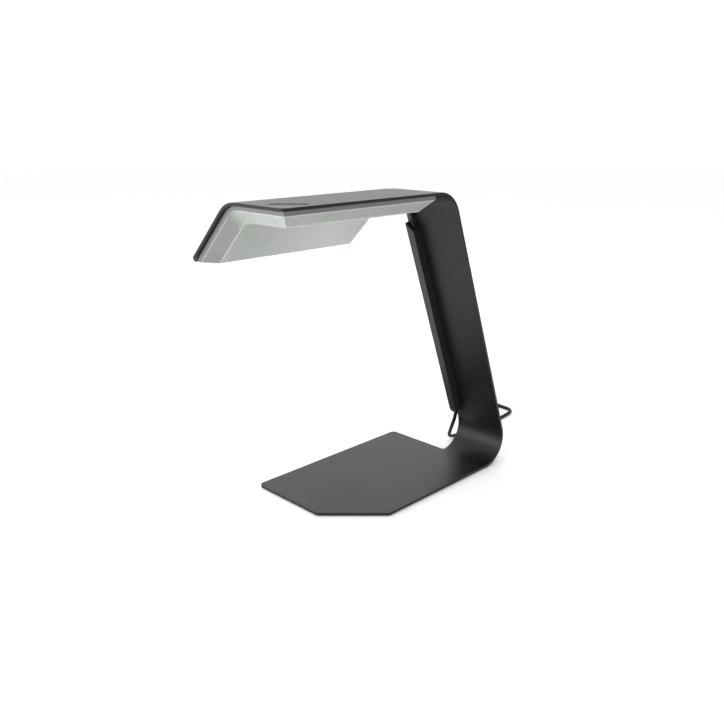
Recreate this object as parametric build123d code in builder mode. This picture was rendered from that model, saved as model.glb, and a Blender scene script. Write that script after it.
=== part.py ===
"""Folded-sheet desk lamp: one bent steel strip is base, arm and head, with a light panel under the head.

Millimetres. +X is the lamp's near side, +Y its back, +Z up. The origin is on the table,
under the middle of the lamp's own footprint, which leaves the cord out.
"""

import os
from math import cos, hypot, pi, radians, sin, tan

from build123d import *

os.makedirs("parts", exist_ok=True)

# ---------------------------------------------------------------- driving sizes
sheet = 3.0  # steel sheet
bend_inside = 30.0  # inside radius of all three bends
base_width = 160.0
base_length = 236.3  # front edge to the straight back edge
base_chamfer = 57.0  # 45 degree cut on the near front corner
arm_width = 70.0
arm_flat = 300.0  # straight part of the arm between its two bends
lean = 20.5  # degrees, arm leans forward from upright
head_length = 214.0  # front edge to the bend into the arm
wing_flat = 75.0  # flat flap beyond the bend along the head's far side
wing_angle = 45.0
wing_rear_gap = 3.0  # head's back bend to the flap's rear edge
wing_relief_radius = 2.0
wing_bend_gap = 1.0  # arm's far edge to the start of the flap's bend
corner_radius = 6.0
notch_radius = 4.0  # inside corner where base meets arm

foot_height = 1.2
foot_radius = 7.0
foot_inset = 14.0

# ---------------------------------------------------------------- clearances
seat_gap = 0.1  # between pieces that lie on each other
slide_gap = 0.15  # round the push key
screw_gap = 0.15  # round a screw's shank

# ---------------------------------------------------------------- light panel
panel_inset = 4.5  # sheet's edge to the panel's rim
panel_rear_gap = 3.4  # head's back bend to the panel's rear rim
rim_depth = 4.4
face_depth = 17.3
bevel_run = 12.4
tray_floor = 1.2
tray_wall = 2.4
diffuser_wall = 1.8
board_thick = 1.2
led_side = 3.0
led_height = 0.8
board_margin = 9.0  # tray's rim to a board's edge
led_pitch = 16.0
led_edge = 8.0  # least distance from a board's edge to an LED
led_screw_gap = 0.3

# ---------------------------------------------------------------- push key
key_from_near = 25.0  # middle of the key to the head's near edge
key_from_front = 27.8
slot_length = 38.0
slot_width = 8.0
key_recess = 0.4
key_travel = 0.8
key_flange = 1.6  # how far the flange passes the slot, all round
key_flange_thick = 1.2
housing_wall = 1.4
housing_floor = 1.2
housing_ear = 8.0
housing_ear_thick = 2.0
well_length = 20.0  # inside of the housing's lower part, which holds the switch
well_width = 9.6
switch_side = 6.0
switch_height = 3.3
plunger_radius = 1.6
plunger_length = 2.1
plunger_running_gap = 0.06

# ---------------------------------------------------------------- arm cover
cover_width = 9.7
cover_depth = 11.8
cover_start = 15.5  # from the bottom bend, along the arm
cover_length = 270.0
cover_wall = 1.2
cover_chamfer = 3.0
rail_thick = 1.2
rail_post = 1.6
driver_length = 170.0
driver_thick = 1.0
coil_gap = 0.55  # between a coil and the cover's side wall
capacitor_radius = 2.5
chip_height = 1.5
duct_width = 6.3
duct_depth = 6.3
duct_wall = 0.8
duct_overlap = 12.0  # how far the duct reaches down into the cover
wire_radius = 0.9
wire_pitch = 2.0

# ---------------------------------------------------------------- cord and adaptor
cord_diameter = 4.8
grommet_flange = 1.2
grommet_length = 3.6
stow_heading = 131.4  # degrees from +X, direction in which the spare cord lies
stow_centre = (-82.0, 332.0)
hank_run = 88.0
hank_radius_in = 13.1  # centreline of the inner turns
hank_layers = 3
tie_thick = 0.8
tie_width = 10.0
adaptor_width = 32.0
adaptor_height = 24.0
adaptor_length = 62.0
adaptor_corner = 4.0
adaptor_sideways = 4.0  # adaptor's axis to the right of the hank's
adaptor_distance = 108.0  # middle of the hank to the adaptor's near face
relief_length = 12.0
pin_radius = 2.0
pin_length = 19.0
pin_spacing = 18.6

# ---------------------------------------------------------------- worked out
bend_outside = bend_inside + sheet
near_x = base_width / 2
far_x = -base_width / 2
arm_far = near_x - arm_width
bottom_turn = 90 + lean
top_turn = 90 - lean


def setback(radius, turn):
    """From a bend's virtual corner to where the bend starts."""
    return radius * tan(radians(turn) / 2)


strip_run = setback(bend_outside, bottom_turn) + arm_flat + setback(bend_outside, top_turn)
footprint = base_length + bend_outside
heel_run = base_length + setback(bend_outside, bottom_turn)
brow_run = heel_run - strip_run * sin(radians(lean))
head_bend_run = brow_run - setback(bend_outside, top_turn)
front_reach = min(0.0, head_bend_run - head_length)
base_front = -(front_reach + footprint) / 2
base_back = base_front + base_length
heel_y = base_front + heel_run
brow_y = base_front + brow_run
head_bend_y = base_front + head_bend_run
head_front = head_bend_y - head_length

under = foot_height
head_top = under + strip_run * cos(radians(lean))
ceiling = head_top - sheet  # underside of the head

wing_corner = arm_far - wing_bend_gap - setback(bend_outside, wing_angle)
wing_rear = head_bend_y - wing_rear_gap
panel_front = head_front + panel_inset
panel_rear = head_bend_y - panel_rear_gap
half_lean = tan(radians(wing_angle) / 2)
down_wing = (-cos(radians(wing_angle)), -sin(radians(wing_angle)))


def wing_path(depth, near_inset, wing_inset):
    """Three points, in X and Z, of a line held at a depth under the head and the flap."""
    corner = (wing_corner + (sheet + depth) * half_lean, ceiling - depth)
    reach = setback(bend_inside - depth, wing_angle) + wing_flat - wing_inset
    end = (corner[0] + reach * down_wing[0], corner[1] + reach * down_wing[1])
    return [(near_x - near_inset, ceiling - depth), corner, end]


def wing_plane(along, depth, y=0.0):
    """Plane on the flap's inside: local X down the flap, local Z out of it."""
    start = wing_path(0, 0, wing_flat - along)[2]
    out = (sin(radians(wing_angle)), -cos(radians(wing_angle)))
    origin = (start[0] + depth * out[0], y, start[1] + depth * out[1])
    return Plane(origin=origin, x_dir=(down_wing[0], 0, down_wing[1]), z_dir=(out[0], 0, out[1]))


arm_dir = (-sin(radians(lean)), cos(radians(lean)))
arm_out = (-cos(radians(lean)), -sin(radians(lean)))
bend_centre = (base_back, under + bend_outside)


def arm_point(along, depth):
    """Y and Z at a distance up the arm's flat and a depth in front of its inside face."""
    y = bend_centre[0] - bend_inside * arm_out[0] + along * arm_dir[0] + depth * arm_out[0]
    z = bend_centre[1] - bend_inside * arm_out[1] + along * arm_dir[1] + depth * arm_out[1]
    return (y, z)


def arm_plane(x, along, depth):
    """Plane on the arm's inside: local X is the lamp's X, local Y up the arm, local Z out."""
    y, z = arm_point(along, depth)
    return Plane(origin=(x, y, z), x_dir=(1, 0, 0), z_dir=(0, arm_out[0], arm_out[1]))


# ================================================================ folded sheet
key_x = near_x - key_from_near
key_y = head_front + key_from_front
key_plane = Plane(origin=(key_x, key_y, head_top), x_dir=(1, 1, 0), z_dir=(0, 0, 1))


def at_key(depth):
    """The key's plane lowered from the top of the head."""
    return key_plane.offset(-depth)


strip_line = [(base_back - 30, under), (heel_y, under), (brow_y, head_top), (head_bend_y - 30, head_top)]

with BuildSketch(Plane.YZ) as strip_section:
    with BuildLine():
        FilletPolyline(*strip_line, radius=bend_outside)
        offset(amount=sheet, side=Side.LEFT)
    make_face()

with BuildPart() as notch_web:
    with BuildSketch(Plane.YZ.offset(arm_far - notch_radius)):
        add(strip_section.sketch_local)
    extrude(amount=notch_radius)
    with BuildSketch(Plane.XY):
        with Locations((arm_far - notch_radius / 2, base_back + notch_radius / 2)):
            Rectangle(notch_radius, notch_radius)
        with Locations((arm_far - notch_radius, base_back + notch_radius)):
            Circle(notch_radius, mode=Mode.SUBTRACT)
    extrude(amount=under + bend_outside, mode=Mode.INTERSECT)

tray_screw_spots = [
    (near_x - 15, wing_rear - 20),
    (near_x - 15, head_front + 85),
    (arm_far + 10, wing_rear - 20),
    (arm_far + 10, head_front + 30),
]
wing_screw_spots = [(wing_flat - 20, head_front + 30), (wing_flat - 20, wing_rear - 20)]
rail_screw_spots = [cover_start + cover_length * share for share in (0.08, 0.5, 0.86)]
housing_half_width = slot_width / 2 + key_flange + slide_gap + housing_wall
ear_reach = housing_half_width + housing_ear / 2
screw_radius = 1.5
small_screw_radius = 1.0
tapped_depth = 2.2

with BuildPart() as folded_sheet:
    with BuildSketch(Plane.YZ.offset(arm_far)):
        add(strip_section.sketch_local)
    extrude(amount=arm_width)
    add(notch_web.part)
    with BuildSketch(Plane.XY.offset(under)) as base_outline:
        with BuildLine():
            Polyline(
                (far_x, base_front),
                (near_x - base_chamfer, base_front),
                (near_x, base_front + base_chamfer),
                (near_x, base_back),
                (far_x, base_back),
                close=True,
            )
        make_face()
        rounded = base_outline.vertices().sort_by_distance((near_x, base_back))[1:]
        fillet(rounded, radius=corner_radius)
    extrude(amount=sheet)
    with BuildSketch(Plane.XZ.offset(-wing_rear)):
        with BuildLine():
            FilletPolyline(
                (near_x, head_top),
                (wing_corner, head_top),
                wing_path(-sheet, 0, 0)[2],
                radius=bend_outside,
            )
            offset(amount=sheet, side=Side.LEFT)
        make_face()
    extrude(amount=wing_rear - head_front)
    wing_tip = wing_path(-sheet / 2, 0, 0)[2]
    corners = [(near_x, head_front, head_top - sheet / 2)]
    corners += [(wing_tip[0], y, wing_tip[1]) for y in (head_front, wing_rear)]
    fillet([folded_sheet.edges().sort_by_distance(spot)[0] for spot in corners], corner_radius)
    with BuildSketch(Plane.XY.offset(ceiling - 1)):
        with Locations((arm_far, wing_rear)):
            Circle(wing_relief_radius)
    extrude(amount=sheet + 2, mode=Mode.SUBTRACT)
    with BuildSketch(at_key(0)):
        SlotOverall(slot_length, slot_width)
    extrude(amount=-sheet, mode=Mode.SUBTRACT)
    with BuildSketch(Plane.XY.offset(ceiling)):
        with Locations(*tray_screw_spots):
            Circle(screw_radius)
    extrude(amount=tapped_depth, mode=Mode.SUBTRACT)
    with BuildSketch(at_key(sheet)):
        with Locations((0, -ear_reach), (0, ear_reach)):
            Circle(small_screw_radius)
    extrude(amount=tapped_depth, mode=Mode.SUBTRACT)
    for along, y in wing_screw_spots:
        with BuildSketch(wing_plane(along, 0, y)):
            Circle(screw_radius)
        extrude(amount=-tapped_depth, mode=Mode.SUBTRACT)
    for along in rail_screw_spots:
        with BuildSketch(arm_plane(arm_far + cover_width / 2, along, 0)):
            Circle(small_screw_radius)
        extrude(amount=-tapped_depth, mode=Mode.SUBTRACT)

folded_sheet.part.label = "folded_sheet"
export_step(folded_sheet.part, "parts/folded_sheet.step")

# ================================================================ feet under the base
foot_spots = [
    (far_x + foot_inset, base_front + foot_inset),
    (near_x - base_chamfer - foot_inset, base_front + foot_inset),
    (near_x - foot_inset, base_front + base_chamfer + foot_inset),
    (far_x + foot_inset, base_back - foot_inset),
    (near_x - foot_inset, base_back - foot_inset),
]

with BuildPart() as feet:
    with BuildSketch(Plane.XY):
        with Locations(*foot_spots):
            Circle(foot_radius)
    extrude(amount=foot_height)

feet.part.label = "feet"
export_step(feet.part, "parts/feet.step")


# ================================================================ light panel: tray and diffuser
def panel_section(near_inset, depth, points):
    """Cross-section, in Y and depth, at the near end of the panel."""
    plane = Plane(origin=(near_x - near_inset, 0, ceiling - depth), x_dir=(0, 1, 0), z_dir=(-1, 0, 0))
    with BuildSketch(plane) as section:
        with BuildLine():
            Polyline(*points, close=True)
        make_face()
    return section.sketch


def panel_line(depth, near_inset, wing_inset):
    """Path from the near rim, round the bend and down the flap."""
    with BuildLine(Plane.XZ) as line:
        FilletPolyline(*wing_path(depth, near_inset, wing_inset), radius=bend_inside - depth)
    return line.wire()


def rim_block(inset, top, bottom):
    """Plain slab that follows head and flap between two depths."""
    front, rear = panel_front + inset, panel_rear - inset
    edge = panel_inset + inset
    tall = bottom - top
    points = [(front, 0), (front, tall), (rear, tall), (rear, 0)]
    with BuildPart() as block:
        sweep(sections=panel_section(edge, top, points), path=panel_line(top, edge, edge))
    return block.part


def bevelled_block(inset, top, bottom, run):
    """Slab whose four sides lean in by run between two depths."""
    front, rear = panel_front + inset, panel_rear - inset
    edge = panel_inset + inset
    tall = bottom - top
    points = [(front, 0), (front + run, tall), (rear - run, tall), (rear, 0)]
    width = rear - front + 2
    near_start = (near_x - edge, ceiling - top)
    slope = (-run / tall, -1.0)
    far_start = wing_plane(wing_flat - edge, top, 0)
    with BuildPart() as block:
        sweep(sections=panel_section(edge, top, points), path=panel_line(top, edge, edge))
        with BuildSketch(Plane.XZ.offset(-(rear + 1))):
            with BuildLine():
                Polyline(
                    near_start,
                    (near_start[0] + slope[0] * (tall + 2), near_start[1] + slope[1] * (tall + 2)),
                    (near_start[0] + 2, near_start[1] + slope[1] * (tall + 2)),
                    (near_start[0] + 2, near_start[1]),
                    close=True,
                )
            make_face()
        extrude(amount=width, mode=Mode.SUBTRACT)
        cut_origin = far_start.origin + (0, rear + 1, 0)
        cut_plane = Plane(origin=cut_origin, x_dir=far_start.x_dir, z_dir=(0, -1, 0))
        with BuildSketch(cut_plane):
            with BuildLine():
                Polyline(
                    (0, 0),
                    (slope[0] * (tall + 2), tall + 2),
                    (2, tall + 2),
                    (2, 0),
                    close=True,
                )
            make_face()
        extrude(amount=width, mode=Mode.SUBTRACT)
    return block.part


duct_x = arm_far + duct_width / 2

with BuildPart() as panel_tray:
    add(rim_block(0, seat_gap, rim_depth))
    add(rim_block(tray_wall, seat_gap + tray_floor, rim_depth + 1), mode=Mode.SUBTRACT)
    with BuildSketch(at_key(sheet)):
        SlotOverall(slot_length + 2 * (housing_half_width - slot_width / 2) + 1, 2 * housing_half_width + 1)
        Rectangle(housing_ear + 1, 2 * ear_reach + housing_ear + 1)
    extrude(amount=-(rim_depth - 1), mode=Mode.SUBTRACT)
    with BuildSketch(Plane.XY.offset(ceiling)):
        with Locations(*tray_screw_spots):
            Circle(screw_radius + screw_gap)
    extrude(amount=-rim_depth, mode=Mode.SUBTRACT)
    for along, y in wing_screw_spots:
        with BuildSketch(wing_plane(along, 0, y)):
            Circle(screw_radius + screw_gap)
        extrude(amount=rim_depth, mode=Mode.SUBTRACT)
    wire_slot_width = wire_pitch + 2 * wire_radius + 0.6
    wire_slot_height = 2 * (rim_depth - duct_depth / 2 + wire_radius + 0.2)
    with BuildSketch(Plane.XZ.offset(-(panel_rear + 1))):
        with Locations((duct_x, ceiling - rim_depth)):
            Rectangle(wire_slot_width, wire_slot_height)
    extrude(amount=tray_wall + 2, mode=Mode.SUBTRACT)

panel_tray.part.label = "panel_tray"
export_step(panel_tray.part, "parts/panel_tray.step")

diffuser_top = rim_depth + seat_gap
side_wall = diffuser_wall * 1.3  # the wall measured level, through a leaning side
inner_run = bevel_run * (face_depth - diffuser_wall - diffuser_top) / (face_depth - diffuser_top)

with BuildPart() as diffuser:
    add(bevelled_block(0, diffuser_top, face_depth, bevel_run))
    inner = bevelled_block(side_wall, diffuser_top, face_depth - diffuser_wall, inner_run)
    add(inner, mode=Mode.SUBTRACT)

diffuser.part.label = "diffuser"
export_step(diffuser.part, "parts/diffuser.step")

# ================================================================ light boards
board_depth = seat_gap + tray_floor + seat_gap
head_board_front = key_y + slot_length / 2 + 13
head_board_rear = panel_rear - board_margin
head_board_near = near_x - panel_inset - board_margin
head_board_far = arm_far + 2
head_board_centre = ((head_board_near + head_board_far) / 2, (head_board_front + head_board_rear) / 2)
head_board_size = (head_board_near - head_board_far, head_board_rear - head_board_front)
wing_board_start = 5.0
wing_board_end = wing_flat - panel_inset - board_margin
wing_board_size = (wing_board_end - wing_board_start, panel_rear - panel_front - 2 * board_margin)
wing_board_centre = ((wing_board_start + wing_board_end) / 2, (panel_front + panel_rear) / 2)
screw_head_radius = 2.8



def led_spots(size, screws):
    """Grid of LEDs about a board's middle, without those that would touch a screw's head."""
    columns, rows = [int((length - led_side - 2 * led_edge) / led_pitch) + 1 for length in size]
    xs = [(column - (columns - 1) / 2) * led_pitch for column in range(columns)]
    ys = [(row - (rows - 1) / 2) * led_pitch for row in range(rows)]
    free = []
    for x, y in [(x, y) for x in xs for y in ys]:
        sides = [(max(0, abs(x - u) - led_side / 2), max(0, abs(y - v) - led_side / 2)) for u, v in screws]
        if all(hypot(*side) > screw_head_radius + led_screw_gap for side in sides):
            free.append((x, y))
    return free


head_board_screws = [(x - head_board_centre[0], y - head_board_centre[1]) for x, y in tray_screw_spots]
wing_board_screws = [(a - wing_board_centre[0], y - wing_board_centre[1]) for a, y in wing_screw_spots]

with BuildPart() as head_board:
    with BuildSketch(Plane.XY.offset(ceiling - board_depth)):
        with Locations(head_board_centre):
            Rectangle(*head_board_size)
        with Locations(*tray_screw_spots):
            Circle(screw_head_radius + 0.6, mode=Mode.SUBTRACT)
    extrude(amount=-board_thick)

head_board.part.label = "head_board"
export_step(head_board.part, "parts/head_board.step")

with BuildPart() as wing_board:
    with BuildSketch(wing_plane(0, board_depth, wing_board_centre[1])):
        with Locations((wing_board_centre[0], 0)):
            Rectangle(*wing_board_size)
        with Locations(*[(along, y - wing_board_centre[1]) for along, y in wing_screw_spots]):
            Circle(screw_head_radius + 0.6, mode=Mode.SUBTRACT)
    extrude(amount=board_thick)

wing_board.part.label = "wing_board"
export_step(wing_board.part, "parts/wing_board.step")

with BuildPart() as head_leds:
    with BuildSketch(Plane.XY.offset(ceiling - board_depth - board_thick)):
        with Locations(head_board_centre):
            with Locations(*led_spots(head_board_size, head_board_screws)):
                Rectangle(led_side, led_side)
    extrude(amount=-led_height)

head_leds.part.label = "head_leds"
export_step(head_leds.part, "parts/head_leds.step")

with BuildPart() as wing_leds:
    with BuildSketch(wing_plane(0, board_depth + board_thick, wing_board_centre[1])):
        with Locations((wing_board_centre[0], 0)):
            with Locations(*led_spots(wing_board_size, wing_board_screws)):
                Rectangle(led_side, led_side)
    extrude(amount=led_height)

wing_leds.part.label = "wing_leds"
export_step(wing_leds.part, "parts/wing_leds.step")

# ================================================================ tray screws
screw_head_height = 1.4
grip = board_depth  # head sits on the tray's floor
screw_shank_end = tapped_depth - 0.2
tray_shank = grip + screw_shank_end


def screw(plane, shank, shank_radius, head_radius, head_height):
    """Pan-head screw: the plane is the seat, local Z points out of the head."""
    with BuildPart() as body:
        with BuildSketch(plane):
            Circle(head_radius)
        extrude(amount=head_height)
        with BuildSketch(plane):
            Circle(shank_radius)
        extrude(amount=-shank)
        with BuildSketch(plane.offset(head_height)):
            Rectangle(head_radius * 1.1, head_radius * 0.22)
            Rectangle(head_radius * 0.22, head_radius * 1.1)
        extrude(amount=-head_height * 0.5, mode=Mode.SUBTRACT)
    return body.part


tap_gap = 0.05  # thread clearance, shank to tapped wall

with BuildPart() as tray_screws:
    for x, y in tray_screw_spots:
        seat = Plane(origin=(x, y, ceiling - grip), x_dir=(1, 0, 0), z_dir=(0, 0, -1))
        add(screw(seat, tray_shank, screw_radius - tap_gap, screw_head_radius, screw_head_height))
    for along, y in wing_screw_spots:
        seat = wing_plane(along, grip, y)
        add(screw(seat, tray_shank, screw_radius - tap_gap, screw_head_radius, screw_head_height))

tray_screws.part.label = "tray_screws"
export_step(tray_screws.part, "parts/tray_screws.step")

# ================================================================ push key and its switch
flange_top = sheet + seat_gap
flange_bottom = flange_top + key_flange_thick
flange_stop = flange_bottom + key_travel + 0.2
switch_top = flange_bottom + key_travel + 0.3
board_top = switch_top + switch_height
well_floor = board_top + board_thick + seat_gap
flange_length = slot_length + 2 * key_flange
flange_width = slot_width + 2 * key_flange
housing_top = sheet + seat_gap / 2

with BuildPart() as push_key:
    with BuildSketch(at_key(key_recess)):
        SlotOverall(slot_length - 2 * slide_gap, slot_width - 2 * slide_gap)
    extrude(amount=-(flange_top - key_recess))
    with BuildSketch(at_key(flange_top)):
        SlotOverall(flange_length, flange_width)
    extrude(amount=-key_flange_thick)
    chamfer(push_key.faces().sort_by(Axis.Z)[-1].edges(), length=0.4)

push_key.part.label = "push_key"
export_step(push_key.part, "parts/push_key.step")

with BuildPart() as key_housing:
    with BuildSketch(at_key(housing_top)):
        SlotOverall(flange_length + 2 * (slide_gap + housing_wall), 2 * housing_half_width)
    extrude(amount=-(flange_stop + housing_floor - housing_top))
    with BuildSketch(at_key(housing_top)):
        Rectangle(housing_ear, 2 * ear_reach + housing_ear)
    extrude(amount=-housing_ear_thick)
    with BuildSketch(at_key(flange_stop)):
        Rectangle(well_length + 2 * housing_wall, well_width + 2 * housing_wall)
    extrude(amount=-(well_floor + housing_floor - flange_stop))
    with BuildSketch(at_key(sheet)):
        SlotOverall(flange_length + 2 * slide_gap, flange_width + 2 * slide_gap)
    extrude(amount=-(flange_stop - sheet), mode=Mode.SUBTRACT)
    with BuildSketch(at_key(sheet)):
        Rectangle(well_length, well_width)
    extrude(amount=-(well_floor - sheet), mode=Mode.SUBTRACT)
    with BuildSketch(at_key(sheet)):
        with Locations((0, -ear_reach), (0, ear_reach)):
            Circle(small_screw_radius + screw_gap)
    extrude(amount=-(housing_ear_thick + 1), mode=Mode.SUBTRACT)

key_housing.part.label = "key_housing"
export_step(key_housing.part, "parts/key_housing.step")

with BuildPart() as housing_screws:
    for side in (-ear_reach, ear_reach):
        spot = key_plane.from_local_coords(Vector(0, side, -(housing_top + housing_ear_thick)))
        seat = Plane(origin=spot, x_dir=(1, 1, 0), z_dir=(0, 0, -1))
        shank = housing_ear_thick + seat_gap / 2 + screw_shank_end
        add(screw(seat, shank, small_screw_radius - tap_gap, 1.9, 1.2))

housing_screws.part.label = "housing_screws"
export_step(housing_screws.part, "parts/housing_screws.step")

with BuildPart() as switch_board:
    with BuildSketch(at_key(board_top)):
        Rectangle(well_length - 2 * seat_gap, well_width - 2 * seat_gap)
    extrude(amount=-board_thick)

switch_board.part.label = "switch_board"
export_step(switch_board.part, "parts/switch_board.step")

with BuildPart() as tact_switch:
    with BuildSketch(at_key(switch_top)):
        Rectangle(switch_side, switch_side)
    extrude(amount=-switch_height)
    with BuildSketch(at_key(switch_top)):
        Circle(plunger_radius + plunger_running_gap)
    extrude(amount=-(switch_height - 0.6), mode=Mode.SUBTRACT)

tact_switch.part.label = "tact_switch"
export_step(tact_switch.part, "parts/tact_switch.step")

with BuildPart() as switch_plunger:
    with BuildSketch(at_key(flange_bottom)):
        Circle(plunger_radius)
    extrude(amount=-plunger_length)

switch_plunger.part.label = "switch_plunger"
export_step(switch_plunger.part, "parts/switch_plunger.step")

# ================================================================ cover on the arm
cover_x = arm_far + cover_width / 2
cover_end = cover_start + cover_length


def arm_box(low, high, half_width, depth_low, depth_high, x=cover_x):
    """Box on the arm's inside face, between two distances up the arm and two depths."""
    with BuildPart() as box:
        with BuildSketch(arm_plane(x, 0, depth_low)):
            with Locations((0, (low + high) / 2)):
                Rectangle(2 * half_width, high - low)
        extrude(amount=depth_high - depth_low)
    return box.part


duct_low = cover_end - cover_width - duct_overlap
mitre_inset = cover_wall * (1 + 2**0.5)  # back from the mitred end to keep the wall's thickness
cover_half = cover_width / 2
inner_half = cover_half - cover_wall
exit_y, exit_z = arm_point(cover_start, cover_depth / 2)
exit_plane = Plane(origin=(cover_x, exit_y, exit_z), x_dir=(1, 0, 0), z_dir=(0, -arm_dir[0], -arm_dir[1]))
grommet_radius = cord_diameter / 2 + 0.6

with BuildPart() as arm_cover:
    with BuildSketch(arm_plane(cover_x, 0, seat_gap)):
        with BuildLine():
            Polyline(
                (cover_chamfer - cover_half, cover_start),
                (-cover_half, cover_start + cover_chamfer),
                (-cover_half, cover_end),
                (cover_half, cover_end - cover_width),
                (cover_half, cover_start),
                close=True,
            )
        make_face()
    extrude(amount=cover_depth - seat_gap)
    with BuildSketch(arm_plane(cover_x, 0, 0)):
        with BuildLine():
            Polyline(
                (-inner_half + cover_chamfer, cover_start + cover_wall),
                (-inner_half, cover_start + cover_wall + cover_chamfer),
                (-inner_half, cover_end - mitre_inset),
                (inner_half, cover_end - cover_width + 2 * cover_wall - mitre_inset),
                (inner_half, cover_start + cover_wall),
                close=True,
            )
        make_face()
    extrude(amount=cover_depth - cover_wall, mode=Mode.SUBTRACT)
    with BuildSketch(arm_plane(duct_x - 1, 0, 0)):
        with Locations((0, (duct_low + cover_end) / 2 + 2)):
            Rectangle(duct_width + 2 + 2 * seat_gap, cover_end - duct_low + 4 + 2 * seat_gap)
    extrude(amount=duct_depth + seat_gap, mode=Mode.SUBTRACT)
    with BuildSketch(exit_plane.offset(1)):
        Circle(grommet_radius)
    extrude(amount=-(grommet_length + 1), mode=Mode.SUBTRACT)

arm_cover.part.label = "arm_cover"
export_step(arm_cover.part, "parts/arm_cover.step")

rail_start = cover_start + cover_wall + 13.0  # clear of the grommet and the bend in the supply wires
rail_high = cover_end - cover_width - duct_overlap - 4.0
rail_half = inner_half - 0.3

with BuildPart() as cover_rail:
    add(arm_box(rail_start, rail_high, rail_half, seat_gap, rail_thick))
    for share in (0.2, 0.8):
        spot = rail_start + (rail_high - rail_start) * share
        add(arm_box(spot - 1.5, spot + 1.5, rail_half, rail_thick, rail_thick + rail_post))
    for along in rail_screw_spots:
        with BuildSketch(arm_plane(cover_x, along, 0)):
            Circle(small_screw_radius + screw_gap)
        extrude(amount=rail_thick + rail_post + 1, mode=Mode.SUBTRACT)

cover_rail.part.label = "cover_rail"
export_step(cover_rail.part, "parts/cover_rail.step")

with BuildPart() as rail_screws:
    for along in rail_screw_spots:
        seat = arm_plane(cover_x, along, rail_thick)
        add(screw(seat, rail_thick + screw_shank_end, small_screw_radius - tap_gap, 1.9, 0.9))

rail_screws.part.label = "rail_screws"
export_step(rail_screws.part, "parts/rail_screws.step")

driver_depth = rail_thick + rail_post + seat_gap
driver_low = (rail_start + rail_high) / 2 - driver_length / 2
driver_high = driver_low + driver_length
component_depth = driver_depth + driver_thick
component_room = cover_depth - cover_wall - component_depth - 0.4

with BuildPart() as driver_board:
    add(arm_box(driver_low, driver_high, rail_half - 0.2, driver_depth, component_depth))

driver_board.part.label = "driver_board"
export_step(driver_board.part, "parts/driver_board.step")

coil_top = component_depth + component_room * 0.8
coil_half = inner_half - coil_gap

with BuildPart() as driver_coils:
    for along in (driver_low + 30, driver_high - 42):
        add(arm_box(along - coil_half, along + coil_half, coil_half, component_depth, coil_top))

driver_coils.part.label = "driver_coils"
export_step(driver_coils.part, "parts/driver_coils.step")

with BuildPart() as driver_capacitors:
    for along in (driver_low + 14, driver_low + 48, driver_high - 20):
        with BuildSketch(arm_plane(cover_x, along, component_depth)):
            Circle(capacitor_radius)
        extrude(amount=component_room)

driver_capacitors.part.label = "driver_capacitors"
export_step(driver_capacitors.part, "parts/driver_capacitors.step")

with BuildPart() as driver_chips:
    for along in (driver_low + 72, driver_low + 96):
        add(arm_box(along - 2.5, along + 2.5, 2.0, component_depth, component_depth + chip_height))

driver_chips.part.label = "driver_chips"
export_step(driver_chips.part, "parts/driver_chips.step")


# ================================================================ duct from the cover to the panel
def duct_line(depth, low, rear):
    """Path, in Y and Z, at a depth in front of the arm, round the top bend, to the panel."""
    corner_y = brow_y - (sheet + depth) * tan(radians(top_turn) / 2)
    return [arm_point(low, depth), (corner_y, ceiling - depth), (rear, ceiling - depth)]


duct_rear = panel_rear + 0.2

with BuildPart() as wire_duct:
    with BuildSketch(Plane.YZ.offset(duct_x - duct_width / 2)):
        with BuildLine():
            FilletPolyline(*duct_line(seat_gap, duct_low, duct_rear), radius=bend_inside - seat_gap)
            offset(amount=duct_depth - seat_gap, side=Side.LEFT)
        make_face()
    extrude(amount=duct_width)
    with BuildSketch(Plane.YZ.offset(duct_x - duct_width / 2 + duct_wall)):
        with BuildLine():
            FilletPolyline(
                *duct_line(duct_wall, duct_low - 1, duct_rear - 1), radius=bend_inside - duct_wall
            )
            offset(amount=duct_depth - 2 * duct_wall, side=Side.LEFT)
        make_face()
    extrude(amount=duct_width - 2 * duct_wall, mode=Mode.SUBTRACT)

wire_duct.part.label = "wire_duct"
export_step(wire_duct.part, "parts/wire_duct.step")


def tube(points, radii, radius):
    """Round tube along a route with rounded corners, and the length of its centreline."""
    with BuildPart() as body:
        with BuildLine() as route:
            FilletPolyline(*points, radius=radii)
        line = route.wire()
        with BuildSketch(Plane(origin=line @ 0, z_dir=line % 0)):
            Circle(radius)
        sweep(path=line)
    return body.part, line.length


wire_depth = duct_depth / 2

with BuildPart() as lamp_wires:
    wire_points = duct_line(wire_depth, driver_high, head_board_rear)
    for side in (-wire_pitch / 2, wire_pitch / 2):
        spots = [(duct_x + side, y, z) for y, z in wire_points]
        add(tube(spots, bend_inside - wire_depth, wire_radius)[0])

lamp_wires.part.label = "lamp_wires"
export_step(lamp_wires.part, "parts/lamp_wires.step")

board_middle = driver_depth + driver_thick / 2

with BuildPart() as supply_wires:
    wire_low = cover_start + grommet_length - grommet_flange
    along_and_depth = [
        (wire_low, cover_depth / 2),
        (wire_low + 7, cover_depth / 2),
        (wire_low + 18, board_middle),
        (driver_low, board_middle),
    ]
    for side in (-wire_pitch / 2, wire_pitch / 2):
        spots = [(cover_x + side, *arm_point(along, depth)) for along, depth in along_and_depth]
        add(tube(spots, 6.0, wire_radius)[0])

supply_wires.part.label = "supply_wires"
export_step(supply_wires.part, "parts/supply_wires.step")

# ================================================================ cord, spare cord and adaptor
with BuildPart() as cord_grommet:
    with BuildSketch(exit_plane):
        Circle(grommet_radius + 0.8)
    extrude(amount=grommet_flange)
    with BuildSketch(exit_plane):
        Circle(grommet_radius - 0.05)
    extrude(amount=-(grommet_length - grommet_flange))

cord_grommet.part.label = "cord_grommet"
export_step(cord_grommet.part, "parts/cord_grommet.step")


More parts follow.
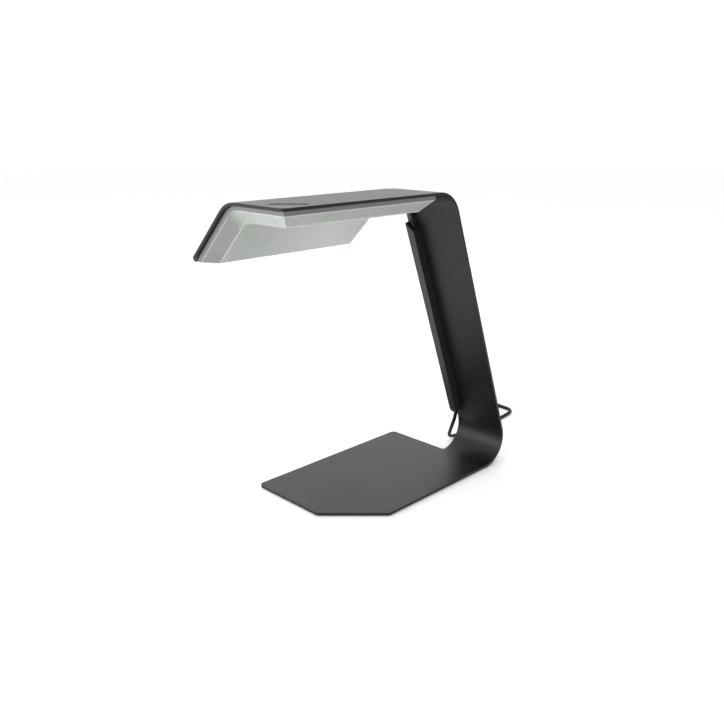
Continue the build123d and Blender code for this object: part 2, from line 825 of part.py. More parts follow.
def stow(along, right, z):
    """Point beside the line on which the spare cord and the adaptor lie."""
    turn = radians(stow_heading)
    x = stow_centre[0] + along * cos(turn) + right * sin(turn)
    y = stow_centre[1] + along * sin(turn) - right * cos(turn)
    return (x, y, z)


def corner_radii(points):
    """Largest sensible radius at each corner: 0.45 of the shorter run beside it."""
    radii = []
    for before, here, after in zip(points, points[1:], points[2:]):
        into = Vector(*here) - Vector(*before)
        out = Vector(*after) - Vector(*here)
        shorter = min(into.length, out.length)
        radii.append(0.45 * shorter / tan(radians(into.get_angle(out)) / 2))
    return radii


cord_radius = cord_diameter / 2
hank_radius_out = hank_radius_in + cord_diameter
layer_one = tie_thick + cord_radius
exit_end = exit_plane.from_local_coords(Vector(0, 0, grommet_flange))
exit_turn = exit_plane.from_local_coords(Vector(0, 0, grommet_flange + 10))

cord_route = [
    tuple(exit_end),
    tuple(exit_turn),
    (4.0, 166.8, 29.0),
    (-7.0, 175.5, 9.0),
    (-11.0, 192.0, cord_radius),
    (-9.0, 222.0, cord_radius),
    (-5.5, 262.0, cord_radius),
    (-6.5, 300.0, cord_radius),
    (-11.0, 333.0, cord_radius),
    (-37.5, 335.0, cord_radius),
    stow(-12.0, hank_radius_out, layer_one),
]
lead_route = [
    stow(hank_run / 2 - 4, hank_radius_out, layer_one + cord_diameter),
    stow(hank_run / 2 + 14, hank_radius_out - 0.5, layer_one + cord_diameter + 0.6),
    stow(adaptor_distance - relief_length - 20, adaptor_sideways, adaptor_height / 2),
    stow(adaptor_distance - relief_length, adaptor_sideways, adaptor_height / 2),
]
cord_radii = corner_radii(cord_route)
lead_radii = corner_radii(lead_route)

with BuildPart() as lamp_cord:
    cord_tube, cord_length = tube(cord_route, cord_radii, cord_radius)
    add(cord_tube)

lamp_cord.part.label = "lamp_cord"
export_step(lamp_cord.part, "parts/lamp_cord.step")

with BuildPart() as adaptor_lead:
    lead_tube, lead_length = tube(lead_route, lead_radii, cord_radius)
    add(lead_tube)

adaptor_lead.part.label = "adaptor_lead"
export_step(adaptor_lead.part, "parts/adaptor_lead.step")

hank_height = hank_layers * cord_diameter
hank_half = hank_radius_out + cord_radius
stow_dir = Vector(*stow(1, 0, 0)) - Vector(*stow(0, 0, 0))


def stow_plane(along, right, z):
    """Plane whose local X lies along the spare cord's line and whose local Z is up."""
    return Plane(origin=stow(along, right, z), x_dir=stow_dir, z_dir=(0, 0, 1))


def stow_end(along, right, z):
    """Plane that looks away from the lamp along the spare cord's line."""
    return Plane(origin=stow(along, right, z), x_dir=(0, 0, 1), z_dir=stow_dir)


with BuildPart() as cord_hank:
    with BuildSketch(stow_plane(0, 0, tie_thick)):
        SlotOverall(hank_run + 2 * hank_half, 2 * hank_half)
    extrude(amount=hank_height)
    fillet(cord_hank.faces().filter_by(Axis.Z).edges(), radius=cord_radius * 0.8)
    add(cord_tube, mode=Mode.SUBTRACT)
    add(lead_tube, mode=Mode.SUBTRACT)

cord_hank.part.label = "cord_hank"
export_step(cord_hank.part, "parts/cord_hank.step")

with BuildPart() as hank_tie:
    with BuildSketch(stow_end(-tie_width / 2, 0, tie_thick + hank_height / 2)):
        RectangleRounded(hank_height + 2 * tie_thick, 2 * (hank_half + tie_thick), 2.6)
    extrude(amount=tie_width)
    add(cord_hank.part, mode=Mode.SUBTRACT)

hank_tie.part.label = "hank_tie"
export_step(hank_tie.part, "parts/hank_tie.step")

with BuildPart() as adaptor_relief:
    with BuildSketch(stow_end(adaptor_distance - relief_length, adaptor_sideways, adaptor_height / 2)):
        Circle(cord_radius + 0.4)
    with BuildSketch(stow_end(adaptor_distance, adaptor_sideways, adaptor_height / 2)):
        Circle(cord_radius + 1.4)
    loft()

adaptor_relief.part.label = "adaptor_relief"
export_step(adaptor_relief.part, "parts/adaptor_relief.step")

with BuildPart() as adaptor_body:
    with BuildSketch(stow_end(adaptor_distance, adaptor_sideways, adaptor_height / 2)):
        RectangleRounded(adaptor_height, adaptor_width, adaptor_corner)
    extrude(amount=adaptor_length)
    chamfer(adaptor_body.edges().filter_by(GeomType.LINE, reverse=True), length=1.0)

adaptor_body.part.label = "adaptor_body"
export_step(adaptor_body.part, "parts/adaptor_body.step")

pin_seat = adaptor_distance + adaptor_length

with BuildPart() as adaptor_pins:
    with BuildSketch(stow_end(pin_seat, adaptor_sideways, adaptor_height / 2)):
        with Locations((0, -pin_spacing / 2), (0, pin_spacing / 2)):
            Circle(pin_radius)
    extrude(amount=pin_length)
    chamfer(adaptor_pins.faces().sort_by(Axis((0, 0, 0), stow_dir))[-2:].edges(), length=0.6)

adaptor_pins.part.label = "adaptor_pins"
export_step(adaptor_pins.part, "parts/adaptor_pins.step")

# ================================================================ printed for the report
inner_turn = 2 * hank_run + 2 * pi * hank_radius_in
outer_turn = 2 * hank_run + 2 * pi * hank_radius_out
hank_length = 3 * inner_turn + 2 * outer_turn + hank_run / 2 + 8
print("cord corner radii mm", [round(radius, 1) for radius in cord_radii + lead_radii])
print("cord lengths mm", round(cord_length), round(hank_length), round(lead_length))
for name, body, length in (("cord", cord_tube, cord_length), ("lead", lead_tube, lead_length)):
    print(name, "volume over section x length", round(body.volume / (pi * cord_radius**2 * length), 4))
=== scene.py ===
# %% [markdown]
# # A desk lamp folded from one steel sheet
# The lamp is one strip of 3 mm steel, bent three times: a flat base, a leaning arm, a flat head
# and a flap that droops along the head's far side. A wide light panel lies under head and flap.
# The CAD model gives every size. This lesson loads it, sets up a small studio, lays the cord,
# then gives each piece its finished edges and its surface. Lengths are in metres.

# %% Load the frame
from math import cos, pi, radians, sin, tan

import bmesh
import bpy
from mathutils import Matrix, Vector


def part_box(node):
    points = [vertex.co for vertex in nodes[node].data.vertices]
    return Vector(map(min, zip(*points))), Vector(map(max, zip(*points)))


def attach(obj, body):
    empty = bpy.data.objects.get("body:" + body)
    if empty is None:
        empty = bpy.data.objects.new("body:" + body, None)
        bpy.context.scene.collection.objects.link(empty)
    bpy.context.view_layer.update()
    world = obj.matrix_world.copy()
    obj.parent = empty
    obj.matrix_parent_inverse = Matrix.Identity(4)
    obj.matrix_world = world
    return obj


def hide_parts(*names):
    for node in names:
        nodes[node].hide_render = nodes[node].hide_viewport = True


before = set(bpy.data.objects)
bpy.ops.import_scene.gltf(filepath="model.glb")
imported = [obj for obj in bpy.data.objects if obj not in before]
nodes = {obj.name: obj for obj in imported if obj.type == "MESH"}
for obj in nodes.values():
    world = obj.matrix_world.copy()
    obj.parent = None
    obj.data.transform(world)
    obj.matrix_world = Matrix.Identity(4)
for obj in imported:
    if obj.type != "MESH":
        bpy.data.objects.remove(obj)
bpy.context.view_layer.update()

# %% [markdown]
# ## Camera
# The lamp is seen from its near front corner, from a little above the head, with a lens of about
# 40 mm. A camera with no shift keeps upright lines natural, so only place, turn and lens are set.

# %% Camera
camera_data = bpy.data.cameras.new("camera")
camera_data.lens = 39.35
camera_data.sensor_width = 36.0
camera_data.clip_end = 50.0
camera = bpy.data.objects.new("camera", camera_data)
camera.location = (0.6155, -0.6154, 0.4242)
camera.rotation_euler = (radians(72.746), 0.0, radians(44.965))
bpy.context.scene.collection.objects.link(camera)
bpy.context.scene.camera = camera
print("camera at", tuple(round(v, 3) for v in camera.location))

# %% [markdown]
# ## Studio
# Product pictures of dark metal need large soft lights: a small lamp would only draw hard glints.
# One broad sheet of light hangs overhead, one high behind glances off the base, and one stands to
# the front left to draw the soft band on the bend.


# %% Lights
def studio_light(name, place, aim, width, height, power):
    """A rectangular soft light that looks at a point."""
    data = bpy.data.lights.new(name, "AREA")
    data.shape = "RECTANGLE"
    data.size = width
    data.size_y = height
    data.energy = power
    lamp = bpy.data.objects.new(name, data)
    lamp.location = place
    lamp.rotation_euler = (Vector(aim) - Vector(place)).to_track_quat("-Z", "Y").to_euler()
    bpy.context.scene.collection.objects.link(lamp)
    return lamp


studio_light("overhead_light", (0.0, 0.1, 1.9), (0.0, 0.0, 0.0), 2.4, 2.4, 10.0)
studio_light("back_light", (-1.3, 1.6, 1.35), (0.0, 0.0, 0.1), 2.6, 0.9, 5.0)
studio_light("front_light", (-0.7, -1.9, 0.55), (0.0, 0.0, 0.25), 1.4, 0.8, 16.0)
print("lights:", len(bpy.data.lights))

# %% [markdown]
# ## Surround
# The surround looks white, but the light that it gives fades at the back right, where a studio would
# hang a black flag: that keeps the sheet's right-hand edges dark and crisp. It also fades towards
# the horizon, because the head's top is seen at a glancing angle and mirrors what is low behind it.
# A dot product says how far a ray looks to the back right, and its height says how near the horizon
# it is. Rays from the camera itself skip both, so the backdrop stays even. The floor is a pale disc.

# %% The surround
world = bpy.data.worlds.new("surround")
world.use_nodes = True
sky = world.node_tree
backdrop = sky.nodes["Background"]
backdrop.inputs["Color"].default_value = (1.0, 1.0, 1.0, 1.0)
facing = sky.nodes.new("ShaderNodeTexCoord")
flag_side = sky.nodes.new("ShaderNodeVectorMath")
flag_side.operation = "DOT_PRODUCT"
flag_side.inputs[1].default_value = (-0.71, -0.7, 0.0)
flag = sky.nodes.new("ShaderNodeMapRange")
flag.inputs["From Min"].default_value = -0.9
flag.inputs["From Max"].default_value = -0.35
flag.inputs["To Min"].default_value = 0.1
flag.inputs["To Max"].default_value = 1.2
height = sky.nodes.new("ShaderNodeSeparateXYZ")
horizon = sky.nodes.new("ShaderNodeMapRange")
horizon.inputs["From Max"].default_value = 0.35
horizon.inputs["To Min"].default_value = 0.68
hung = sky.nodes.new("ShaderNodeMath")
hung.operation = "MULTIPLY"
seen = sky.nodes.new("ShaderNodeLightPath")
strength = sky.nodes.new("ShaderNodeMix")
strength.inputs["B"].default_value = 1.05
sky.links.new(facing.outputs["Generated"], flag_side.inputs[0])
sky.links.new(flag_side.outputs["Value"], flag.inputs["Value"])
sky.links.new(seen.outputs["Is Camera Ray"], strength.inputs["Factor"])
sky.links.new(facing.outputs["Generated"], height.inputs["Vector"])
sky.links.new(height.outputs["Z"], horizon.inputs["Value"])
sky.links.new(flag.outputs["Result"], hung.inputs[0])
sky.links.new(horizon.outputs["Result"], hung.inputs[1])
sky.links.new(hung.outputs["Value"], strength.inputs["A"])
sky.links.new(strength.outputs["Result"], backdrop.inputs["Strength"])
bpy.context.scene.world = world
bpy.context.scene.view_settings.view_transform = "Standard"
print("surround nodes:", len(sky.nodes))

# %% Floor
FLOOR_RADIUS = 6.0
floor_mesh = bpy.data.meshes.new("floor")
floor_bm = bmesh.new()
bmesh.ops.create_circle(floor_bm, cap_ends=True, segments=96, radius=FLOOR_RADIUS)
floor_bm.to_mesh(floor_mesh)
floor_bm.free()
floor = bpy.data.objects.new("floor", floor_mesh)
bpy.context.scene.collection.objects.link(floor)
print("floor radius:", FLOOR_RADIUS)

# %% [markdown]
# ## Surfaces
# Every finish starts from the same recipe: a Principled shader whose colour and roughness drift
# slightly with a broad noise, and a fine noise that drives the bump. Only the sizes of the noise
# and the shader's own numbers differ from paint to plastic to rubber. Object coordinates keep the
# pattern still on the piece and the same scale on every piece.


# %% A recipe for surfaces
def surface(name, colour, rough, drift=0.06, drift_scale=14.0, grain=0.1, grain_scale=900.0, **sockets):
    """Procedural finish: broad drift in colour and roughness, fine grain in the bump."""
    material = bpy.data.materials.new(name)
    material.use_nodes = True
    tree = material.node_tree
    shader = tree.nodes["Principled BSDF"]
    for socket, value in sockets.items():
        shader.inputs[socket.replace("_", " ")].default_value = value
    place = tree.nodes.new("ShaderNodeTexCoord")
    broad = tree.nodes.new("ShaderNodeTexNoise")
    broad.inputs["Scale"].default_value = drift_scale
    broad.inputs["Detail"].default_value = 5.0
    tree.links.new(place.outputs["Object"], broad.inputs["Vector"])
    tint = tree.nodes.new("ShaderNodeMix")
    tint.data_type = "RGBA"
    tint.inputs["A"].default_value = (*[c * (1 - drift) for c in colour], 1.0)
    tint.inputs["B"].default_value = (*[min(1.0, c * (1 + drift)) for c in colour], 1.0)
    tree.links.new(broad.outputs["Fac"], tint.inputs["Factor"])
    tree.links.new(tint.outputs["Result"], shader.inputs["Base Color"])
    gloss = tree.nodes.new("ShaderNodeMapRange")
    gloss.inputs["To Min"].default_value = max(0.0, rough - drift)
    gloss.inputs["To Max"].default_value = min(1.0, rough + drift)
    tree.links.new(broad.outputs["Fac"], gloss.inputs["Value"])
    tree.links.new(gloss.outputs["Result"], shader.inputs["Roughness"])
    fine = tree.nodes.new("ShaderNodeTexNoise")
    fine.inputs["Scale"].default_value = grain_scale
    fine.inputs["Detail"].default_value = 3.0
    tree.links.new(place.outputs["Object"], fine.inputs["Vector"])
    bump = tree.nodes.new("ShaderNodeBump")
    bump.inputs["Strength"].default_value = grain
    bump.inputs["Distance"].default_value = 0.0002
    tree.links.new(fine.outputs["Fac"], bump.inputs["Height"])
    tree.links.new(bump.outputs["Normal"], shader.inputs["Normal"])
    return material


# %% Finishes
floor_paper = surface("floor_paper", (0.94, 0.94, 0.94), 0.9, drift=0.01, drift_scale=3.0, grain=0.05)
floor.data.materials.append(floor_paper)

powder_coat = surface(
    "powder_coat", (0.006, 0.0062, 0.0062), 0.4, drift=0.04, grain=0.35, grain_scale=2600.0,
    Specular_IOR_Level=0.37,
)
tray_plastic = surface("tray_plastic", (0.2, 0.2, 0.2), 0.5, drift=0.03, grain=0.15, grain_scale=1800.0)
cover_plastic = surface(
    "cover_plastic", (0.009, 0.01, 0.01), 0.42, drift=0.04, grain=0.2, grain_scale=1800.0,
    Specular_IOR_Level=0.6,
)
black_plastic = surface("black_plastic", (0.02, 0.02, 0.021), 0.45, grain=0.3, grain_scale=1500.0)
key_plastic = surface("key_plastic", (0.006, 0.006, 0.006), 0.6, grain=0.05, Specular_IOR_Level=0.03)
cord_rubber = surface(
    "cord_rubber", (0.006, 0.006, 0.0065), 0.5, grain=0.2, grain_scale=1200.0, Specular_IOR_Level=0.3
)
foot_rubber = surface("foot_rubber", (0.03, 0.03, 0.03), 0.8, grain=0.4, grain_scale=1600.0)
steel = surface("zinc_steel", (0.6, 0.6, 0.58), 0.3, grain=0.1, Metallic=1.0)
nickel = surface("nickel_pin", (0.7, 0.68, 0.63), 0.2, grain=0.05, Metallic=1.0)
print("finishes seen from outside:", len(bpy.data.materials))

# %% Finishes of the pieces inside
board_white = surface("board_white", (0.82, 0.82, 0.8), 0.5)
board_green = surface("board_green", (0.03, 0.16, 0.06), 0.4)
phosphor = surface("led_phosphor", (0.85, 0.68, 0.16), 0.35)
copper_wire = surface("coil_wire", (0.4, 0.16, 0.06), 0.35, grain=0.5, grain_scale=3000.0)
blue_sleeve = surface("capacitor_sleeve", (0.03, 0.05, 0.18), 0.3)
red_wire = surface("wire_sleeve", (0.45, 0.03, 0.02), 0.45)
strap_weave = surface("tie_fabric", (0.02, 0.02, 0.022), 0.9, drift=0.1, grain=0.9, grain_scale=2400.0)
print("finishes with the inner ones:", len(bpy.data.materials))

# %% [markdown]
# ## Milky diffuser
# An unlit milky cover is not one even grey. The LEDs behind it show as a faint greenish grid. The
# rest is painted light in the colour: painted shade darkens the sloping side at the flap's front,
# for the tray's wall that stands close behind it, painted light makes the flap's face lighter towards
# the rear, and painted highlights draw the thin lips as bright lines. Object coordinates tell the
# material where it is, and smooth ramps turn a place into a mask from 0 to 1. The painted shade and
# light multiply the colour, and the painted highlight lines are added to it.


# %% Masks from numbers
def math_node(tree, operation, a, b):
    """A Math node whose two inputs are numbers or other nodes' outputs."""
    node = tree.nodes.new("ShaderNodeMath")
    node.operation = operation
    for socket, value in zip(node.inputs, (a, b)):
        if isinstance(value, (int, float)):
            socket.default_value = value
        else:
            tree.links.new(value, socket)
    return node.outputs["Value"]


def ramp(tree, value, start, end, low=0.0, high=1.0):
    """Smooth change from low to high while a value goes from start to end."""
    node = tree.nodes.new("ShaderNodeMapRange")
    node.interpolation_type = "SMOOTHSTEP"
    for socket, number in (("From Min", start), ("From Max", end), ("To Min", low), ("To Max", high)):
        node.inputs[socket].default_value = number
    tree.links.new(value, node.inputs["Value"])
    return node.outputs["Result"]


def blend(tree, factor, a, b):
    """Mix of two numbers or outputs."""
    kept = math_node(tree, "MULTIPLY", a, math_node(tree, "SUBTRACT", 1.0, factor))
    return math_node(tree, "ADD", kept, math_node(tree, "MULTIPLY", b, factor))


# %% [markdown]
# The masks need a few sizes of the panel. Depths are measured from the sheet's underside: to the
# tray's rim, to the diffuser's face and to the middle of the LEDs. The bevel's run is how far the
# sloping sides reach in from the edge. The rest comes from the CAD pieces' boxes.

# %% Places on the panel
SHEET = 0.003
RIM_DEPTH = 0.0044
FACE_DEPTH = 0.0173
LED_DEPTH = 0.003
LED_PITCH = 0.016
BEVEL_RUN = 0.0124
FLAP_BLEND = 0.02
DUCT_GAP = 0.001
panel_low, panel_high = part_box("diffuser")
slope_start = panel_low[1] + BEVEL_RUN
head_centre, flap_centre = [
    [(low + high) / 2 for low, high in zip(*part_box(name))] for name in ("head_leds", "wing_leds")
]
flap_middle = (flap_centre[0] + flap_centre[2]) * cos(pi / 4)
bend_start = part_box("wire_duct")[0][0] - DUCT_GAP
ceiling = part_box("folded_sheet")[1][2] - SHEET
print("panel front and rear:", round(panel_low[1], 4), round(panel_high[1], 4))
print("flap's bend starts at:", round(bend_start, 4))

# %% [markdown]
# The head is level and the flap is turned 45 degrees, so a point's distance along the panel and its
# depth under the sheet are worked out in two ways, and blended round the bend between them.

# %% Distance along the panel and depth under the sheet
opal = surface(
    "opal_diffuser", (0.43, 0.44, 0.425), 0.3, drift=0.06, drift_scale=160.0, grain=0.08, grain_scale=700.0
)
tree = opal.node_tree
point_here = tree.nodes["Texture Coordinate"].outputs["Object"]
spot = tree.nodes.new("ShaderNodeSeparateXYZ")
tree.links.new(point_here, spot.inputs["Vector"])
x, y, z = spot.outputs
on_flap = ramp(tree, x, bend_start, bend_start - FLAP_BLEND)
down_flap = math_node(tree, "MULTIPLY", math_node(tree, "ADD", x, z), cos(pi / 4))
head_columns = math_node(tree, "SUBTRACT", x, head_centre[0])
flap_columns = math_node(tree, "SUBTRACT", down_flap, flap_middle)
columns = blend(tree, on_flap, head_columns, flap_columns)
rows = math_node(tree, "SUBTRACT", y, flap_centre[1])
head_depth = math_node(tree, "SUBTRACT", ceiling, z)
x_less_z = math_node(tree, "SUBTRACT", x, z)
out_of_flap = math_node(tree, "SUBTRACT", x_less_z, flap_centre[0] - flap_centre[2])
flap_depth = math_node(tree, "MULTIPLY_ADD", out_of_flap, cos(pi / 4))
flap_depth.node.inputs[2].default_value = LED_DEPTH
depth = blend(tree, on_flap, head_depth, flap_depth)
print("LED rows lie", LED_PITCH, "apart")

# %% [markdown]
# A Voronoi pattern with no randomness is a plain grid, and the distance to its nearest point makes
# a soft dot for every LED. A broad noise thins the dots unevenly, and they fade towards the rear.

# %% LEDs that show through
DOT_REACH = 0.75
PATCH_SCALE = 24.0
PATCH_START, PATCH_END = 0.25, 0.65
REAR_GLOW = 0.15
GLOW_ENDS = -0.01
grid = tree.nodes.new("ShaderNodeCombineXYZ")
tree.links.new(columns, grid.inputs["X"])
tree.links.new(rows, grid.inputs["Y"])
leds = tree.nodes.new("ShaderNodeTexVoronoi")
leds.voronoi_dimensions = "2D"
leds.inputs["Scale"].default_value = 1.0 / LED_PITCH
leds.inputs["Randomness"].default_value = 0.0
tree.links.new(grid.outputs["Vector"], leds.inputs["Vector"])
patches = tree.nodes.new("ShaderNodeTexNoise")
patches.inputs["Scale"].default_value = PATCH_SCALE
patches.inputs["Detail"].default_value = 1.0
tree.links.new(point_here, patches.inputs["Vector"])
dots = ramp(tree, leds.outputs["Distance"], DOT_REACH, 0.0)
led_dots = math_node(tree, "MULTIPLY", dots, ramp(tree, patches.outputs["Fac"], PATCH_START, PATCH_END))
led_glow = math_node(tree, "MULTIPLY", led_dots, ramp(tree, y, GLOW_ENDS, slope_start, REAR_GLOW, 1.0))
print("LED dots per metre:", leds.inputs["Scale"].default_value)

# %% [markdown]
# The painted shade on the slope and the painted highlights on the lips fade over about a
# millimetre, so that no mask ends in a hard step, and the painted light on the flap rises evenly from
# front to rear. The strips that the bevel adds get the lips' painted highlight as well.

# %% Painted shade on the slope, painted light at the rear, painted highlights on the lips
PAINTED_SLOPE_LIGHT = 0.58
PAINTED_FRONT_LIGHT, PAINTED_REAR_LIGHT = 0.93, 1.22
PAINTED_LINE_HIGHLIGHT = 0.32
SLOPE_FADE = 0.0008
NEAR_FADE = 0.0004
FACE_LIP = (0.0022, 0.0008)
RIM_LIP = (0.0018, 0.001)
# painted shade: the sloping side at the flap's front is drawn darker in the colour
on_slope = ramp(tree, y, slope_start, slope_start - SLOPE_FADE)
painted_shade_slope = math_node(tree, "MULTIPLY", on_slope, on_flap)
# painted light: the flap's face is drawn lighter towards the rear
to_rear = ramp(tree, y, slope_start, panel_high[1] - BEVEL_RUN)
near_slope_start = panel_high[0] - BEVEL_RUN
near_slope = ramp(tree, x, near_slope_start, near_slope_start + NEAR_FADE)
# painted highlight: the thin lips at the diffuser's face and at the tray's rim are drawn as bright lines
near_face = ramp(tree, depth, FACE_DEPTH - FACE_LIP[0], FACE_DEPTH - FACE_LIP[1])
near_lip = math_node(tree, "MULTIPLY", near_slope, near_face)
rim_lip = ramp(tree, depth, RIM_DEPTH + RIM_LIP[0], RIM_DEPTH + RIM_LIP[1])
# the bevel's strips, marked edge, get the same painted highlight
edge = tree.nodes.new("ShaderNodeAttribute")
edge.attribute_name = "edge"
light = blend(tree, painted_shade_slope, 1.0, PAINTED_SLOPE_LIGHT)
painted_rear_light = blend(tree, math_node(tree, "MULTIPLY", to_rear, on_flap), PAINTED_FRONT_LIGHT, PAINTED_REAR_LIGHT)
light = math_node(tree, "MULTIPLY", light, painted_rear_light)
lips = math_node(tree, "MAXIMUM", near_lip, rim_lip)
painted_highlight_lines = math_node(tree, "MAXIMUM", edge.outputs["Fac"], lips)
light = math_node(tree, "ADD", light, math_node(tree, "MULTIPLY", painted_highlight_lines, PAINTED_LINE_HIGHLIGHT))
print("light on slope, front and rear:", PAINTED_SLOPE_LIGHT, PAINTED_FRONT_LIGHT, PAINTED_REAR_LIGHT)

# %% Join the masks to the colour
LED_TINT = (0.8, 0.9, 0.82, 1.0)
greenish = tree.nodes.new("ShaderNodeMix")
greenish.data_type = "RGBA"
greenish.blend_type = "MULTIPLY"
greenish.inputs["B"].default_value = LED_TINT
shade = tree.nodes.new("ShaderNodeVectorMath")
shade.operation = "SCALE"
tree.links.new(led_glow, greenish.inputs["Factor"])
tree.links.new(tree.nodes["Mix"].outputs["Result"], greenish.inputs["A"])
tree.links.new(greenish.outputs["Result"], shade.inputs[0])
# the painted shade, painted light and painted highlights scale the diffuser's colour
tree.links.new(light, shade.inputs["Scale"])
tree.links.new(shade.outputs["Vector"], tree.nodes["Principled BSDF"].inputs["Base Color"])
print("diffuser nodes:", len(tree.nodes))

# %% [markdown]
# ## Cord
# The cord leaves the bottom of the cover on the arm, drops straight to the table, turns there in one
# tight bend and runs back past the arm. The spare length is folded in a hank behind the arm and ends
# in a plug-in adaptor. One NURBS curve follows the route's points; the turns of the hank are more
# points of the same curve. Each end of the hank is laid round half an octagon's corners, whose sides
# a curve of order three touches at their middles, so the turns come out round.

# %% Where the spare cord lies
CORD = 0.0048
HEADING = radians(131.4)
HANK = Vector((-0.082, 0.332, 0.0))
HALF_RUN = 0.044
INNER, OUTER = 0.0131, 0.0179
LAYERS = (0.0032, 0.0080, 0.0128)
OCTAGON = tan(pi / 8)
ALONG = Vector((cos(HEADING), sin(HEADING), 0.0))
RIGHT = Vector((sin(HEADING), -cos(HEADING), 0.0))


def stow(along, right, up):
    """Point on or beside the line on which the spare cord lies."""
    return HANK + along * ALONG + right * RIGHT + Vector((0.0, 0.0, up))


print("hank centre:", tuple(stow(0.0, 0.0, 0.0)))

# %% Points from the cover to the hank
route = [
    (0.01485, 0.16060, 0.05603),
    (0.01200, 0.16360, 0.04667),
    (0.00350, 0.16720, 0.02800),
    (-0.00780, 0.17480, 0.00850),
    (-0.01100, 0.19200, 0.00240),
    (-0.00900, 0.22200, 0.00240),
    (-0.00550, 0.26200, 0.00240),
    (-0.00650, 0.30000, 0.00240),
    (-0.01100, 0.33300, 0.00240),
    (-0.03750, 0.33500, 0.00240),
    (-0.06064, 0.33484, 0.00320),
]
print("points to the hank:", len(route))

# %% Points of the hank's turns
turns = [
    (OUTER, LAYERS[0]),
    (INNER, LAYERS[0]),
    (INNER, LAYERS[1]),
    (INNER, LAYERS[2]),
    (OUTER, LAYERS[2]),
    (OUTER, LAYERS[1]),
]


def half_turn(end, side, first, last):
    """Four corners round one end of the hank, from one lane to the lane across."""
    corners = []
    for step in range(4):
        share = (step + 0.5) / 4
        radius = first[0] + (last[0] - first[0]) * share
        height = first[1] + (last[1] - first[1]) * share
        angle = pi * share
        reach = radius / cos(pi / 8)
        corners.append(stow(end * (HALF_RUN + reach * sin(angle)), side * reach * cos(angle), height))
    return corners


hank_points = [stow(0.006, OUTER, LAYERS[0])]
for number, (radius, height) in enumerate(turns[:-1]):
    nearest = HALF_RUN - radius * OCTAGON
    if number:
        hank_points += [stow(a, radius, height) for a in (-nearest, 0.0)]
    hank_points.append(stow(nearest, radius, height))
    hank_points += half_turn(1, 1, (radius, height), (radius, height))
    hank_points += [stow(a, -radius, height) for a in (nearest, 0.0, -nearest)]
    hank_points += half_turn(-1, -1, (radius, height), turns[number + 1])
radius, height = turns[-1]
hank_points += [stow(a, radius, height) for a in (radius * OCTAGON - HALF_RUN, 0.0)]
print("points of the hank:", len(hank_points))

# %% Points from the hank to the adaptor
lead = [
    (-0.09503, 0.37384, 0.00800),
    (-0.10730, 0.38701, 0.00860),
    (-0.12926, 0.39165, 0.01200),
    (-0.14249, 0.40666, 0.01200),
]
cord_points = [Vector(p) for p in route] + hank_points + [Vector(p) for p in lead]
print("cord points:", len(cord_points))

# %% The cord itself
cord_curve = bpy.data.curves.new("cord", "CURVE")
cord_curve.dimensions = "3D"
cord_spline = cord_curve.splines.new("NURBS")
cord_spline.points.add(len(cord_points) - 1)
for point, spot in zip(cord_spline.points, cord_points):
    point.co = (*spot, 1.0)
cord_spline.order_u = 3
cord_spline.use_endpoint_u = True
cord_spline.resolution_u = 8
cord_curve.bevel_depth = CORD / 2
cord_curve.bevel_resolution = 5
cord_curve.use_fill_caps = True
cord = bpy.data.objects.new("cord", cord_curve)
bpy.context.scene.collection.objects.link(cord)
cord_curve.materials.append(cord_rubber)
print("cord spline order:", cord_spline.order_u)

# %% [markdown]
# ## Finished edges
# Real folded steel and moulded plastic have no razor edges: a thin rounded line along every edge
# catches the light and tells the eye how thick the piece is. A copy of each visible CAD piece is
# merged, its flat faces are joined back into whole faces, and its sharp edges get a small bevel.
# The new strips are marked in a face attribute named edge, so that a material can treat them apart.


# %% Helpers for a finished piece
def link_piece(name, bm, material, body):
    """Turn a bmesh into a smooth piece that rides on a body and carries one material."""
    mesh = bpy.data.meshes.new(name)
    bm.to_mesh(mesh)
    bm.free()
    mesh.polygons.foreach_set("use_smooth", [True] * len(mesh.polygons))
    mesh.materials.append(material)
    piece = bpy.data.objects.new(name, mesh)
    bpy.context.scene.collection.objects.link(piece)
    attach(piece, body)
    return piece


def even_normals(piece):
    """Keep large flat faces looking flat beside their rounded edges."""
    weighted = piece.modifiers.new("even_normals", "WEIGHTED_NORMAL")
    weighted.weight = 50
    weighted.keep_sharp = True
    return piece


# %% Copy a CAD piece and round its edges
MERGE_DISTANCE = 0.00001
FLAT_ANGLE = radians(0.6)


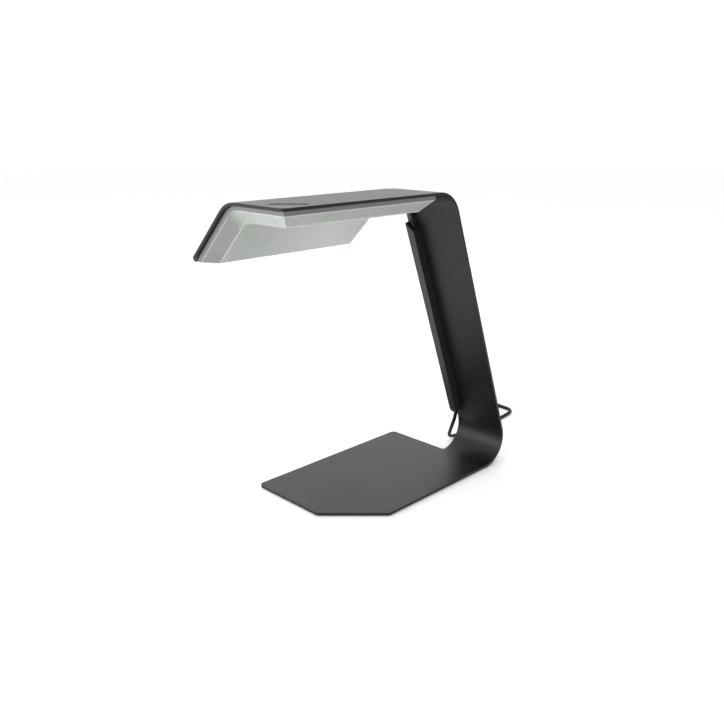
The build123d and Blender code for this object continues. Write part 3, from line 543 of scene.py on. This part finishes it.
def edged_copy(node, material, width, body="lamp", segments=2, sharp=28.0):
    """A merged copy of a CAD piece with a small round along its sharp edges."""
    bm = bmesh.new()
    bm.from_mesh(nodes[node].data)
    bmesh.ops.remove_doubles(bm, verts=bm.verts, dist=MERGE_DISTANCE)
    bmesh.ops.dissolve_limit(bm, angle_limit=FLAT_ANGLE, verts=bm.verts, edges=bm.edges)
    bmesh.ops.recalc_face_normals(bm, faces=bm.faces)
    limit = radians(sharp)
    edges = [e for e in bm.edges if len(e.link_faces) == 2 and e.calc_face_angle() > limit]
    mark = bm.faces.layers.float.new("edge")
    rounded = bmesh.ops.bevel(
        bm, geom=edges, offset=width, offset_type="OFFSET", segments=segments, profile=0.5,
        affect="EDGES", clamp_overlap=True, material=-1,
    )
    for face in rounded["faces"]:
        face[mark] = 1.0
    piece = even_normals(link_piece(node + "_finished", bm, material, body))
    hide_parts(node)
    print(piece.name, "edges rounded:", len(edges), "faces:", len(piece.data.polygons))
    return piece


# %% Finish the visible pieces
edged_copy("folded_sheet", powder_coat, 0.0004)
edged_copy("panel_tray", tray_plastic, 0.0003)
edged_copy("diffuser", opal, 0.0008, segments=3)
edged_copy("arm_cover", cover_plastic, 0.0005)
edged_copy("wire_duct", cover_plastic, 0.0004)
edged_copy("push_key", key_plastic, 0.0003, body="key")
edged_copy("feet", foot_rubber, 0.0003)
edged_copy("adaptor_body", black_plastic, 0.0004)
edged_copy("adaptor_pins", nickel, 0.0003)
edged_copy("adaptor_relief", cord_rubber, 0.0003)
edged_copy("hank_tie", strap_weave, 0.0003)
edged_copy("cord_grommet", cord_rubber, 0.0002)

# %% [markdown]
# ## Pieces inside
# Boards, chips, screws, wires and the switch keep their CAD shape and only get their surfaces.

# %% Surfaces for the inner pieces
inner = {
    "head_board": board_white,
    "wing_board": board_white,
    "head_leds": phosphor,
    "wing_leds": phosphor,
    "tray_screws": steel,
    "housing_screws": steel,
    "rail_screws": steel,
    "key_housing": black_plastic,
    "switch_board": board_green,
    "tact_switch": black_plastic,
    "switch_plunger": key_plastic,
    "cover_rail": cover_plastic,
    "driver_board": board_green,
    "driver_coils": copper_wire,
    "driver_capacitors": blue_sleeve,
    "driver_chips": black_plastic,
    "lamp_wires": red_wire,
    "supply_wires": red_wire,
}
for node, material in inner.items():
    nodes[node].data.materials.clear()
    nodes[node].data.materials.append(material)
print("inner pieces:", len(inner))

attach(cord, "lamp")
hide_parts("lamp_cord", "cord_hank", "adaptor_lead")
